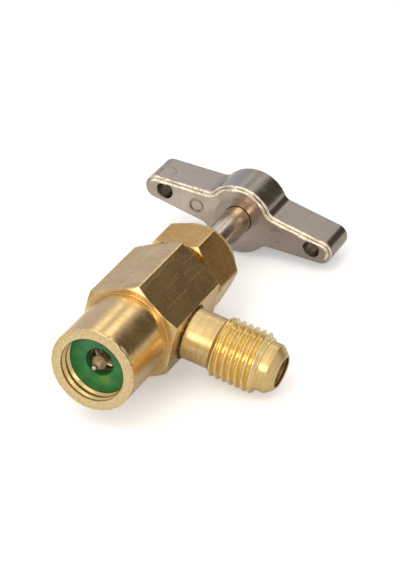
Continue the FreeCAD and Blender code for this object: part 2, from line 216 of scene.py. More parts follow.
def soft_least(values: Sequence[float], sharpness: float) -> float:
    """Smooth minimum of some radii, so that faces meet in a finely rounded edge.

    Args:
        values: the radii.
        sharpness: higher gives a crisper edge.

    Returns:
        A little less than the least radius where two are near each other.
    """
    least = min(values)
    return least * sum((v / least) ** -sharpness for v in values) ** (-1 / sharpness)


@dataclass(frozen=True)
class HexagonBar:
    """Hexagon bar whose ends are cut by turned cones.

    Attributes:
        flats: size across the flats.
        front, rear: places of the ends.
        land: how far outside the flats a cone begins.
        turned: direction of a flat's middle, in degrees from the side port.
        slope: length of a cone to its rise.
        crispness: how crisp the hexagon's corners are.
    """

    flats: float
    front: float
    rear: float
    land: float
    turned: float = 0.0
    slope: float = 0.577
    crispness: float = 90

    @property
    def corner(self) -> float:
        """Radius at the hexagon's corners."""
        return self.flats / math.sqrt(3)

    @property
    def chamfer(self) -> float:
        """Length of the cone at an end."""
        return (self.corner - self.flats / 2 - self.land) * self.slope

    @property
    def first_flat(self) -> float:
        """Direction of one flat's middle, in radians."""
        return math.pi / 2 + math.radians(self.turned)

    def hexagon(self, angle: float) -> float:
        """Radius of the hexagon with finely rounded corners.

        Args:
            angle: direction from the axis, in radians.

        Returns:
            The radius in that direction.
        """
        near = (angle - self.first_flat) % SIXTH
        reach = [math.cos(near + turn) for turn in (0, -SIXTH, SIXTH)]
        most = max(reach)
        total = sum((max(c, 0.01) / most) ** self.crispness for c in reach)
        return self.flats / 2 / (most * total ** (1 / self.crispness))

    def cone(self, inward: float) -> float:
        """Radius of an end's cone at a distance from that end."""
        return self.flats / 2 + self.land + inward / self.slope

    def press(self, radius: float, inner: float, edge: float) -> float:
        """Radius moved so that the corners' circle comes to an edge and an inner one stays."""
        return inner + (radius - inner) * (edge - inner) / (self.corner - inner)

    def crowd(self, power: float) -> Callable[[float], float]:
        """Rule that crowds vertices round the hexagon towards its corners.

        Args:
            power: higher crowds them more.

        Returns:
            The rule, from angle to angle.
        """
        half = SIXTH / 2

        def warp(angle: float) -> float:
            """Angle after the vertices were crowded."""
            turn = angle - self.first_flat - half
            step = round(turn / SIXTH)
            share = (turn - step * SIXTH) / half
            moved = math.copysign(abs(share) ** power, share)
            return self.first_flat + half + step * SIXTH + moved * half

        return warp


def round_off(
    bm: bmesh.types.BMesh, geom: list, offset: float, segments: int, affect: str = "VERTICES"
) -> None:
    """Round off corners or edges.

    Args:
        bm: the mesh.
        geom: its vertices or edges.
        offset: how far the rounding reaches.
        segments: steps in the rounding.
        affect: VERTICES or EDGES.
    """
    bmesh.ops.bevel(
        bm,
        geom=geom,
        offset=offset,
        offset_type="OFFSET",
        segments=segments,
        profile=0.5,
        affect=affect,
        material=-1,
        clamp_overlap=True,
    )


def swing(bm: bmesh.types.BMesh, geom: list, centre: Vector, axis: Vector, angle: float, steps: int) -> None:
    """Draw an arc or turn a shape, joined to itself where it goes all the way round.

    Args:
        bm: the mesh.
        geom: what is turned.
        centre, axis: what it is turned about.
        angle: how far, in radians.
        steps: number of steps.
    """
    bmesh.ops.spin(
        bm,
        geom=geom,
        cent=centre,
        axis=axis,
        dvec=ORIGIN,
        angle=angle,
        steps=steps,
        use_merge=angle == math.tau,
        use_duplicate=False,
    )


def edges_of(verts: Iterable[bmesh.types.BMVert]) -> list[bmesh.types.BMEdge]:
    """Edges that meet some vertices."""
    return list({edge for vert in verts for edge in vert.link_edges})


def put(name: str, data: bpy.types.ID) -> bpy.types.Object:
    """Put a new object with its mesh, lamp or camera into the scene."""
    item = bpy.data.objects.new(name, data)
    bpy.context.scene.collection.objects.link(item)
    return item


def put_mesh(name: str, bm: bmesh.types.BMesh) -> bpy.types.Object:
    """Put a new object made from a bmesh, which isn't used up, into the scene."""
    mesh = bpy.data.meshes.new(name)
    bm.to_mesh(mesh)
    return put(name, mesh)


class Piece:
    """A new mesh piece of the object, on its way from bmesh to a finished object."""

    def __init__(self, name: str) -> None:
        """Start an empty piece."""
        self.name = name
        self.bm = bmesh.new()

    def turn(self, profile: Profile, axis: Axis, segments: int, closed: bool = True) -> "Piece":
        """Turn a profile all the way round an axis.

        Args:
            profile: corners in order, each with what a Station takes.
            axis: the body's or the port's axis.
            segments: steps in the full turn.
            closed: whether the last corner joins the first.

        Returns:
            The piece itself.
        """
        bm = self.bm
        stations = [Station(*corner) for corner in profile]
        places = [axis.beside(s.radius, s.along) for s in stations]
        verts = [bm.verts.new(place) for place in places]
        ends = verts[1:] + verts[:1] if closed else verts[1:]
        for pair in zip(verts, ends):
            bm.edges.new(pair)
        for vert, station in zip(verts, stations):
            if station.rounding:
                round_off(bm, [vert], station.rounding, 4)
        for here, (place, station) in enumerate(zip(places, stations)):
            if station.cuts:
                twice = place + places[(here + 1) % len(places)]
                stretch = min(bm.edges, key=lambda e: (e.verts[0].co + e.verts[1].co - twice).length)
                bmesh.ops.subdivide_edges(bm, edges=[stretch], cuts=station.cuts)
        centre = axis.beside(0, 0)
        swing(bm, bm.verts[:] + bm.edges[:], centre, axis.beside(0, 1) - centre, math.tau, segments)
        bmesh.ops.remove_doubles(bm, verts=bm.verts[:], dist=1e-5)
        bmesh.ops.recalc_face_normals(bm, faces=bm.faces[:])
        return self

    def reshape(self, axis: Axis, rule: RadiusRule, warp: Callable[[float], float] | None = None) -> "Piece":
        """Move every vertex in or out from the axis by a rule.

        Args:
            axis: the body's or the port's axis.
            rule: takes radius, angle and place along the axis and gives the new radius.
            warp: moves the vertices round the axis first, to crowd them where edges are.

        Returns:
            The piece itself.
        """
        for vert in self.bm.verts:
            radius, angle, along = axis.polar(vert.co)
            if radius > 1e-6:
                angle = warp(angle) if warp else angle
                vert.co = axis.place(rule(radius, angle, along), angle, along)
        return self

    def finish(
        self,
        finishes: Sequence["Finish"],
        body: str,
        slot: str,
        *nodes: str,
        sharp: float = 40.0,
        where: Callable[[Vector], int] | None = None,
    ) -> None:
        """Lay the piece into the frame, dress it and tie it to its body.

        Args:
            finishes: what it is made of.
            body: the CAD body that it moves with.
            slot: the record's material slot; not used.
            nodes: CAD nodes that it stands for.
            sharp: angle in degrees past which an edge is shaded sharp.
            where: rule for the finish's number at a place, if the faces aren't marked yet.
        """
        bm = self.bm
        bmesh.ops.recalc_face_normals(bm, faces=bm.faces[:])
        if where:
            for face in bm.faces:
                face.material_index = int(where(face.calc_center_median()))
        bmesh.ops.transform(bm, matrix=AXES.lie, verts=bm.verts[:])
        item = put_mesh(self.name, bm)
        bm.free()
        mesh = item.data
        mesh.shade_smooth()
        mesh.set_sharp_from_angle(angle=math.radians(sharp))
        along = AXES.direction(0, 1, 0)
        for polygon in mesh.polygons:
            polygon.use_smooth = polygon.area < PLANE_AREA and abs(polygon.normal.dot(along)) < SQUARE
        for finish in finishes:
            mesh.materials.append(finish.material())
        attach(item, body)
        if nodes:
            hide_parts(*nodes)
        LOG.info("%s: %d faces on %s", self.name, len(mesh.polygons), body)

    def cut(self, tool: "Piece") -> None:
        """Take another piece's shape out of this one, before it is finished.

        Args:
            tool: the shape to take away, which is used up.
        """
        carrier, cutter = put_mesh(self.name, self.bm), put_mesh(tool.name, tool.bm)
        modifier = carrier.modifiers.new("cut", "BOOLEAN")
        modifier.operation = "DIFFERENCE"
        modifier.solver = "EXACT"
        modifier.object = cutter
        graph = bpy.context.evaluated_depsgraph_get()
        result = bpy.data.meshes.new_from_object(carrier.evaluated_get(graph), depsgraph=graph)
        self.bm.clear()
        self.bm.from_mesh(result)
        tool.bm.free()
        for item in (carrier, cutter):
            mesh = item.data
            bpy.data.objects.remove(item)
            bpy.data.meshes.remove(mesh)
        bpy.data.meshes.remove(result)


class Nodes:
    """Short hand for building a node tree."""

    def __init__(self, tree: bpy.types.NodeTree) -> None:
        """Work on a material's, a group's or the world's tree."""
        self.tree = tree

    def add(self, kind: str, inputs: dict | None = None, **settings: object) -> bpy.types.Node:
        """Add a node, set it up and feed it.

        Args:
            kind: the node's type.
            inputs: values or sockets for its inputs, by name or number.
            settings: the node's own properties.

        Returns:
            The node.
        """
        node = self.tree.nodes.new(kind)
        for key, value in settings.items():
            setattr(node, key, value)
        for key, value in (inputs or {}).items():
            self.feed(node.inputs[key], value)
        return node

    def feed(self, socket: Socket, value: Value) -> None:
        """Link a socket to an input, or set the input's plain value.

        Args:
            socket: the input.
            value: another node's socket, a number or a colour.
        """
        if isinstance(value, bpy.types.NodeSocket):
            self.tree.links.new(value, socket)
        elif isinstance(value, tuple) and len(value) == 3 and socket.type == "RGBA":
            socket.default_value = (*value, 1.0)
        else:
            socket.default_value = value

    def math(self, operation: str, first: Value, second: Value = 0.0, clamped: bool = False) -> Socket:
        """Result of a Math node."""
        node = self.add("ShaderNodeMath", {0: first, 1: second}, operation=operation, use_clamp=clamped)
        return node.outputs[0]

    def plus(self, first: Value, second: Value) -> Socket:
        """Sum of two values."""
        return self.math("ADD", first, second)

    def times(self, first: Value, second: Value) -> Socket:
        """Product of two values."""
        return self.math("MULTIPLY", first, second)

    def vector(self, operation: str, first: Value, second: Value, output: str = "Value") -> Socket:
        """Result of a Vector Math node."""
        return self.add("ShaderNodeVectorMath", {0: first, 1: second}, operation=operation).outputs[output]

    def ramp(self, value: Value, low: float, high: float, kind: str = "SMOOTHSTEP") -> Socket:
        """Value mapped from low to high on to 0 to 1."""
        limits = {"Value": value, "From Min": low, "From Max": high}
        return self.add("ShaderNodeMapRange", limits, interpolation_type=kind).outputs["Result"]

    def blend(self, share: Value, first: Value, second: Value) -> Socket:
        """Colour between two colours."""
        return self.add("ShaderNodeMix", {0: share, 6: first, 7: second}, data_type="RGBA").outputs[2]

    def noise(self, vector: Value, scale: float, detail: float = 3.0, rough: float = 0.5) -> Socket:
        """Value of a Noise texture."""
        inputs = {"Vector": vector, "Scale": scale, "Detail": detail, "Roughness": rough}
        return self.add("ShaderNodeTexNoise", inputs).outputs["Fac"]

    def effect(self, tree: bpy.types.NodeTree, **inputs: Value) -> Socket:
        """First output of a group.

        Args:
            tree: the group.
            inputs: what goes into it, by name.

        Returns:
            The output.
        """
        node = self.add("ShaderNodeGroup", node_tree=tree)
        for key, value in inputs.items():
            self.feed(node.inputs[key], value)
        return node.outputs[0]

    def principled(self, inputs: dict) -> None:
        """End a material with the one Principled shader."""
        shader = self.add("ShaderNodeBsdfPrincipled", inputs)
        self.add("ShaderNodeOutputMaterial", {"Surface": shader.outputs[0]})


def new_material(name: str) -> tuple[bpy.types.Material, Nodes]:
    """New material with an empty tree.

    Args:
        name: its name.

    Returns:
        The material and its nodes.
    """
    made = bpy.data.materials.new(name)
    made.use_nodes = True
    made.node_tree.nodes.clear()
    return made, Nodes(made.node_tree)


class Marks(Enum):
    """Which way the tool marks of a finish run."""

    TURNED = "turned"
    DRAWN = "drawn"
    PORT = "port"
    CAST = "cast"


def tap_vector(n: Nodes) -> Socket:
    """Object coordinates brought to millimetres on the tap's own axes.

    Args:
        n: a material's nodes.

    Returns:
        The coordinates.
    """
    back = AXES.lie.inverted()
    mapping = n.add(
        "ShaderNodeMapping",
        {
            "Vector": n.add("ShaderNodeTexCoord").outputs["Object"],
            "Location": tuple(back.to_translation()),
            "Rotation": tuple(back.to_3x3().normalized().to_euler()),
            "Scale": (1 / MM, 1 / MM, 1 / MM),
        },
        vector_type="POINT",
    )
    return mapping.outputs[0]


def mask_group(name: str, **numbers: float) -> tuple[Nodes, bpy.types.bpy_prop_collection]:
    """New shader node group that makes a mask from a place and some numbers.

    Args:
        name: the group's name.
        numbers: further inputs with their defaults.

    Returns:
        The group's nodes and the sockets that its inputs come in by.
    """
    tree = bpy.data.node_groups.new(name, "ShaderNodeTree")
    tree.interface.new_socket("Vector", in_out="INPUT", socket_type="NodeSocketVector")
    for label, value in numbers.items():
        socket = tree.interface.new_socket(label, in_out="INPUT", socket_type="NodeSocketFloat")
        socket.default_value = value
    tree.interface.new_socket("Mask", in_out="OUTPUT", socket_type="NodeSocketFloat")
    n = Nodes(tree)
    return n, n.add("NodeGroupInput").outputs


class SurfaceEffects:
    """Node groups that more than one finish uses."""

    def __init__(self) -> None:
        """Build every group once."""
        self.wear = self._wear()
        self.scratches = self._scratches()
        self.blotches = self._blotches()

    @staticmethod
    def _wear() -> bpy.types.NodeTree:
        """Worn edges: where the surface is sharply convex, broken up by noise.

        Returns:
            The group.
        """
        n, given = mask_group("edge_wear", Width=0.03)
        flat = 0.5
        convex = n.add("ShaderNodeNewGeometry").outputs["Pointiness"]
        edge = n.ramp(convex, flat + 0.005, n.plus(flat, given["Width"]), "LINEAR")
        broken = n.ramp(n.noise(given["Vector"], 2.2, 4.0, 0.6), 0.25, 0.6)
        n.add("NodeGroupOutput", {0: n.math("MULTIPLY", edge, broken, clamped=True)})
        return n.tree

    @staticmethod
    def _scratches() -> bpy.types.NodeTree:
        """Straight scattered scratches, most of them along the tap.

        Returns:
            The group.
        """
        n, given = mask_group("scratches", Amount=0.5)
        fade = 0.035
        lines = 0.0
        runs = (
            ((0.0, 0.0, 0.0), (1, 0.010, 1), 5.5, 0.70),
            ((0.0, 0.0, 0.04), (1, 0.016, 1), 3.6, 0.72),
            ((0.3, 0.2, 1.2), (1, 0.05, 1), 2.4, 0.76),
        )
        for turn, stretch, scale, level in runs:
            inputs = {"Vector": given["Vector"], "Rotation": turn, "Scale": stretch}
            placed = n.add("ShaderNodeMapping", inputs).outputs[0]
            lines = n.math("MAXIMUM", lines, n.ramp(n.noise(placed, scale, 1.0, 0.3), level, level + fade))
        n.add("NodeGroupOutput", {0: n.math("MULTIPLY", lines, given["Amount"], clamped=True)})
        return n.tree

    @staticmethod
    def _blotches() -> bpy.types.NodeTree:
        """Slow patches of tarnish with finer mottling in them.

        Returns:
            The group.
        """
        n, given = mask_group("blotches")
        slow = n.noise(given["Vector"], 0.22, 4.0, 0.65)
        fine = n.noise(given["Vector"], 1.9, 5.0, 0.7)
        n.add("NodeGroupOutput", {0: n.ramp(n.plus(n.times(slow, 0.7), n.times(fine, 0.3)), 0.38, 0.64)})
        return n.tree


EFFECTS = SurfaceEffects()


@dataclass(frozen=True)
class Tint:
    """A soft round patch of another colour.

    Attributes:
        centre: its middle, in millimetres on the tap.
        radius: where it has faded out.
        colour: its colour on the screen.
        strength: how far it covers.
        core: part of the radius that is covered in full.
        ragged: how uneven its edge is, as a part of the radius.
    """

    centre: Place
    radius: float
    colour: Screen
    strength: float
    core: float = 0.35
    ragged: float = 0.9

    def lay(self, n: Nodes, place: Socket, colour: Socket) -> Socket:
        """Lay the patch over a colour.

        Args:
            n: the material's nodes.
            place: millimetres on the tap.
            colour: the colour under it.

        Returns:
            The colour with the patch.
        """
        gap = n.vector("DISTANCE", place, self.centre)
        uneven = n.times(n.math("SUBTRACT", n.noise(place, 1.3, 4.0, 0.65), 0.5), self.radius * self.ragged)
        mask = n.ramp(n.plus(gap, uneven), self.radius, self.radius * self.core)
        return n.blend(n.times(mask, self.strength), colour, srgb(self.colour))


@dataclass(frozen=True, kw_only=True)
class Finish:
    """A surface with soft patches of other colours.

    Attributes:
        name: the material's name.
        roughness: roughness where it is clean.
        tints: patches of other colours.
    """

    name: str
    roughness: float
    tints: tuple[Tint, ...] = ()

    def material(self) -> bpy.types.Material:
        """Build the material.

        Returns:
            The finished material.
        """
        made, n = new_material(self.name)
        place = tap_vector(n)
        surface = self.surface(n, place)
        for tint in self.tints:
            surface["Base Color"] = tint.lay(n, place, surface["Base Color"])
        n.principled(surface)
        return made

    def surface(self, n: Nodes, place: Socket) -> dict[str, Value]:
        """Look of the surface, as inputs of the shader; each kind of finish has its own."""
        raise NotImplementedError

    @staticmethod
    def relief(n: Nodes, height: Socket, strength: float) -> Socket:
        """Normal of a surface with fine relief."""
        inputs = {"Strength": strength, "Distance": BUMP_DISTANCE, "Height": height}
        return n.add("ShaderNodeBump", inputs).outputs[0]


@dataclass(frozen=True, kw_only=True)
class MetalFinish(Finish):
    """A bare or plated metal surface.

    Attributes:
        bright, dull: colours of clean and of tarnished metal.
        dark: colour at the bottom of the tool marks.
        worn: colour of worn edges and scratches.
        marks: which way the tool marks run.
        mark_depth: strength of the tool marks.
        mark_scale: how many there are to a millimetre.
        streaks: how far the marks darken the metal.
        scratch: amount of scratches.
        ripple: strength of slow unevenness.
        wear: how far worn edges show.
        metallic: share of bare metal in the surface.
    """

    bright: Screen
    dull: Screen
    dark: Screen
    worn: Screen
    marks: Marks
    mark_depth: float = 0.10
    mark_scale: float
    streaks: float
    scratch: float = 0.0
    ripple: float = 0.0
    wear: float = 1.0
    metallic: float = 1.0

    def surface(self, n: Nodes, place: Socket) -> dict[str, Value]:
        """Colour, roughness and relief of the metal.

        Args:
            n: the material's nodes.
            place: millimetres on the tap.

        Returns:
            The shader's inputs.
        """
        blotch = n.effect(EFFECTS.blotches, Vector=place)
        scratch = n.effect(EFFECTS.scratches, Vector=place, Amount=self.scratch)
        marks = self._marks(n, place, self.mark_scale)
        fine = self._marks(n, place, self.mark_scale * FINER)
        streak = n.ramp(marks, 0.40, 0.72)
        colour = n.blend(blotch, srgb(self.bright), srgb(self.dull))
        layers = [(streak, self.streaks, self.dark), (scratch, 0.6, self.worn)]
        if self.wear:
            layers.append((n.effect(EFFECTS.wear, Vector=place, Width=0.05), self.wear, self.worn))
        for mask, strength, over in layers:
            colour = n.blend(n.times(mask, strength), colour, srgb(over))
        height = n.plus(marks, n.times(fine, 0.35))
        height = n.math("SUBTRACT", height, n.times(scratch, 0.8))
        if self.ripple:
            height = n.plus(height, n.times(n.noise(place, 0.75), self.ripple))
        return {
            "Base Color": colour,
            "Metallic": self.metallic,
            "Roughness": n.plus(n.plus(self.roughness, n.times(blotch, 0.08)), n.times(streak, 0.06)),
            "Normal": self.relief(n, height, self.mark_depth),
        }

    def _marks(self, n: Nodes, place: Socket, scale: float) -> Socket:
        """Height of the tool marks, as a value from 0 to 1.

        Args:
            n: the material's nodes.
            place: millimetres on the tap.
            scale: how many there are to a millimetre.

        Returns:
            The height.
        """
        if self.marks is Marks.CAST:
            return n.noise(place, scale, 5.0, 0.62)
        x, y, z = n.add("ShaderNodeSeparateXYZ", {0: place}).outputs
        if self.marks is Marks.DRAWN:
            along, across = (
                n.noise(n.vector("MULTIPLY", place, stretch, "Vector"), scale, 4.0, 0.7)
                for stretch in ((1.0, 0.008, 1.0), (0.04, 1.1, 0.04))
            )
            share = n.times(n.ramp(x, 0.4, -0.4), 0.75)
            return n.plus(n.times(across, share), n.times(along, n.math("SUBTRACT", 1.0, share)))
        first, way = (n.math("SUBTRACT", y, PORT_ALONG), x) if self.marks is Marks.PORT else (x, y)
        squares = n.plus(n.math("POWER", first, 2.0), n.math("POWER", z, 2.0))
        angle = n.times(n.math("ARCTAN2", z, first), 0.08)
        turned = n.add("ShaderNodeCombineXYZ", {0: n.math("SQRT", squares), 1: way, 2: angle})
        return n.noise(turned.outputs[0], scale, 2.0, 0.6)


@dataclass(frozen=True, kw_only=True)
class RubberFinish(Finish):
    """Moulded rubber with a faint bloom.

    Attributes:
        colour, bloom: colours of clean and of bloomed rubber.
    """

    roughness: float = 0.42
    colour: Screen
    bloom: Screen

    def surface(self, n: Nodes, place: Socket) -> dict[str, Value]:
        """Colour, roughness and grain of the rubber.

        Args:
            n: the material's nodes.
            place: millimetres on the tap.

        Returns:
            The shader's inputs.
        """
        patch = n.ramp(n.noise(place, 0.6, 4.0, 0.6), 0.35, 0.7)
        grain = n.noise(place, 9.0, 3.0, 0.6)
        return {
            "Base Color": n.blend(patch, srgb(self.colour), srgb(self.bloom)),
            "Roughness": n.plus(self.roughness, n.times(grain, 0.12)),
            "Normal": self.relief(n, grain, 0.12),
        }


BRASS_DARK = (142, 106, 58)
BRASS_WORN = (248, 224, 172)
BRASS_NOSE = MetalFinish(
    name="brass_nose", bright=(218, 187, 134), dull=(214, 181, 126), dark=BRASS_DARK, worn=BRASS_WORN,
    marks=Marks.TURNED, roughness=0.21, mark_scale=1.6, streaks=0.06, ripple=0.5,
)
BRASS_NUT = MetalFinish(
    name="brass_nut", bright=(208, 168, 104), dull=(194, 150, 84), dark=(130, 92, 44), worn=(246, 210, 140),
    marks=Marks.TURNED, roughness=0.21, mark_depth=0.22, mark_scale=2.6, streaks=0.3, scratch=0.3,
)
BRASS_FACED = MetalFinish(
    name="brass_faced", bright=(246, 214, 142), dull=(236, 198, 120), dark=(170, 130, 70),
    worn=(255, 238, 190), marks=Marks.TURNED, roughness=0.30, mark_depth=0.12, mark_scale=1.8, streaks=0.1,
    scratch=0.1,
)
BRASS_DRAWN = MetalFinish(
    name="brass_drawn", bright=(226, 194, 140), dull=(212, 178, 120), dark=BRASS_DARK, worn=BRASS_WORN,
    marks=Marks.DRAWN, roughness=0.22, mark_depth=0.35, mark_scale=4.2, streaks=0.55, scratch=0.6,
)
BRASS_PORT = MetalFinish(
    name="brass_port", bright=(230, 201, 142), dull=(218, 187, 126), dark=BRASS_DARK, worn=(252, 236, 196),
    marks=Marks.PORT, roughness=0.28, mark_scale=2.0, streaks=0.3, wear=0.15,
)
# Inside of the port's bore: its dark brown colour is painted shade.
BRASS_BORE_PAINTED_SHADE = MetalFinish(
    name="brass_bore_painted_shade", bright=(150, 112, 74), dull=(118, 82, 48), dark=BRASS_DARK, worn=(214, 180, 136),
    marks=Marks.PORT, roughness=0.35, mark_scale=2.0, streaks=0.3,
)
BRASS_THREAD = MetalFinish(
    name="brass_thread", bright=(242, 215, 148), dull=(236, 205, 132), dark=(170, 134, 76),
    worn=(254, 242, 214), marks=Marks.PORT, roughness=0.18, mark_scale=1.6, streaks=0.1, scratch=0.1,
)
BRONZE = MetalFinish(
    name="bronze", bright=(244, 212, 176), dull=(216, 168, 122), dark=(110, 66, 36), worn=(250, 232, 208),
    marks=Marks.CAST, roughness=0.28, mark_depth=1.0, mark_scale=1.5, streaks=0.6, scratch=0.3, ripple=1.0,
    metallic=0.5,
    tints=(
        # Dark patches on the fronts of two fins beside the cone: painted shade.
        Tint((-1.0, 3.1, 1.7), 0.9, (60, 54, 44), 0.8),
        Tint((-1.0, 3.1, -1.7), 0.9, (50, 42, 32), 0.85),
    ),
)
# Pale colour of the needle's point: a painted glint on its facet.
NEEDLE_TIP_PAINTED_GLINT = MetalFinish(
    name="needle_tip_painted_glint", bright=(222, 198, 186), dull=(176, 146, 134), dark=(104, 78, 68), worn=(240, 226, 220),
    marks=Marks.CAST, roughness=0.30, mark_depth=1.0, mark_scale=3.0, streaks=0.6, scratch=0.3,
)
PLATED_STEEL = MetalFinish(
    name="plated_steel", bright=(216, 203, 190), dull=(206, 192, 178), dark=(150, 140, 132),
    worn=(232, 226, 220), marks=Marks.TURNED, roughness=0.14, mark_depth=0.03, mark_scale=1.2, streaks=0.05,
    scratch=0.03,
)
PLATED_CASTING = MetalFinish(
    name="plated_casting", bright=(165, 154, 142), dull=(159, 147, 134), dark=(146, 132, 118),
    worn=(222, 208, 190), marks=Marks.CAST, roughness=0.17, mark_scale=0.6, streaks=0.10, scratch=0.10,
    ripple=0.4, wear=0.0,
    tints=(
        # Bronze patch on the dish above right of the stem: a painted reflection.
        Tint((1.4, 58.9, 3.2), 3.0, (182, 152, 116), 0.4),
        # Pale brass in the wing holes, lightened to paint the highlight inside them.
        Tint((-15.02, 61.6, 0.0), 2.0, (236, 212, 174), 1.0),
        Tint((15.02, 61.6, 0.4), 2.0, (236, 212, 174), 1.0),
    ),
)
PLATED_BEAD = MetalFinish(
    name="plated_bead", bright=(206, 189, 166), dull=(166, 146, 122), dark=(130, 112, 92),
    worn=(248, 236, 220), marks=Marks.CAST, roughness=0.30, mark_depth=0.9, mark_scale=1.6, streaks=0.6,
    scratch=0.1,
)
JOINT_METAL = MetalFinish(
    name="joint_metal", bright=(92, 68, 42), dull=(24, 18, 12), dark=(10, 8, 6), worn=(196, 152, 92),
    marks=Marks.CAST, roughness=0.4, mark_depth=0.9, mark_scale=2.4, streaks=0.6, scratch=0.2,
)
GREEN_RUBBER = RubberFinish(
    name="green_rubber", colour=(38, 108, 56), bloom=(52, 128, 62),
    tints=(
        # Yellow-green patch low on the right is a painted reflection; the second patch makes the upper left a
        # lighter, bluer green.
        Tint((1.55, 2.9, -2.8), 1.5, (104, 150, 58), 0.6),
        Tint((-2.6, 2.9, 2.6), 2.4, (70, 138, 92), 0.35),
    ),
)
BLACK_RUBBER = RubberFinish(name="black_rubber", colour=(26, 26, 26), bloom=(34, 34, 34))


@dataclass
class ValveBody:
    """Hexagon body with the can socket's nose and the boss under the nut."""

    bar: HexagonBar = HexagonBar(16.8, 13.2, 31.2, 0.33)
    nose: float = 7.67
    fillet: float = 0.12
    socket: float = 6.10
    seat: float = 4.9
    mouth: float = 5.90
    lead: float = 0.9  # length over which the thread opens to the mouth
    passage: float = 2.32
    chamber: float = 2.9
    chamber_front: float = 16.5
    stem_bore: float = 4.0
    stem_bore_front: float = 29.5
    boss: float = 5.95
    boss_rear: float = 38.9
    thread: Thread = Thread(5.62, 6.12, 1.5875, 0.24, 0.22, 0.35)
    # radius, start, end and segments of the port's hole and of the drilling behind it
    holes: tuple[tuple[float, float, float, int], ...] = ((4.68, 4.8, 12.0, 96), (2.0, 0.3, 6.0, 48))

    def build(self) -> Piece:
        """Turn the body and press the hexagon and the socket's thread into it.

        Returns:
            The piece, not yet dressed.
        """
        bar = self.bar
        cone = bar.chamfer * 1.15
        profile = [
            (self.socket - 0.02, 0.0),
            (self.nose, 0.0, 0.15, 6),
            (self.nose, 1.2, 0.0, 30),
            (self.nose, bar.front, self.fillet),
            (bar.corner, bar.front, 0.0, 16),
            (bar.corner, bar.front + cone, 0.0, 6),
            (bar.corner, bar.rear - cone, 0.0, 16),
            (bar.corner, bar.rear, 0.0, 3),
            (self.boss, bar.rear, 0.2, 1),
            (self.boss, self.boss_rear),
            (self.stem_bore, self.boss_rear),
            (self.stem_bore, self.stem_bore_front),
            (self.chamber, self.stem_bore_front),
            (self.chamber, self.chamber_front),
            (self.passage, self.chamber_front),
            (self.passage, self.seat),
            (self.socket + 0.02, self.seat, 0.0, 8),
            (self.socket, self.seat - 2.0, 0.0, 52),
        ]
        inner = self.nose + self.fillet

        def rule(radius: float, angle: float, along: float) -> float:
            """Radius of the hexagon, the socket's thread or the dented rim."""
            if radius > inner - 0.01 and bar.front - 0.001 <= along <= bar.rear + 0.001:
                radii = (bar.hexagon(angle), bar.cone(along - bar.front), bar.cone(bar.rear - along))
                return bar.press(radius, inner, soft_least(radii, 420))
            if abs(radius - self.socket) < 0.05 and along < self.seat - 1.99:
                opened = max(1 - along / self.lead, 0.0) ** 1.5
                crest = self.thread.radius(angle, along)
                return crest + (self.mouth - crest) * opened
            if radius > self.nose - 0.2 and along < 6.0:
                return radius - self._nick(angle, along)
            return radius

        piece = Piece("valve_body_turned").turn(profile, Axis.BODY, 192)
        return piece.reshape(Axis.BODY, rule, bar.crowd(1.5))

    @staticmethod
    def _nick(angle: float, along: float) -> float:
        """Depth of the dents on the upper right of the rim.

        Args:
            angle: direction from the axis, zero at the top.
            along: distance from the mouth.

        Returns:
            How far the surface is pushed in.
        """
        reaches = ((angle - 0.85) / 0.60, along / 0.7, along / 3.5)
        side, rim, nose = (math.exp(-(reach**2)) for reach in reaches)
        dent = noise.noise(Vector((angle * 9.0, along * 1.6, 0.3))) + 0.12
        burr = noise.noise(Vector((angle * 30.0, along * 3.0, 2.6)))
        wave = noise.noise(Vector((angle * 7.0 + along, along * 1.4 - angle * 3.0, 5.0)))
        return side * (0.34 * rim * max(dent, 0.0) + 0.09 * rim * burr + 0.035 * wave * nose)

    def dress(self) -> None:
        """Cut the port's hole and give the body its drawn brass."""
        piece = self.build()
        for radius, start, end, segments in self.holes:
            rod = [(0, start), (radius, start), (radius, end), (0, end)]
            piece.cut(Piece("drill").turn(rod, Axis.PORT, segments, closed=False))

        def turned(place: Vector) -> bool:
            """Whether a place is on the nose."""
            return place.y < self.bar.front + 0.001 and math.hypot(place.x, place.z) > 5.4

        piece.finish((BRASS_DRAWN, BRASS_NOSE), "body", "brass", "valve_body", where=turned)


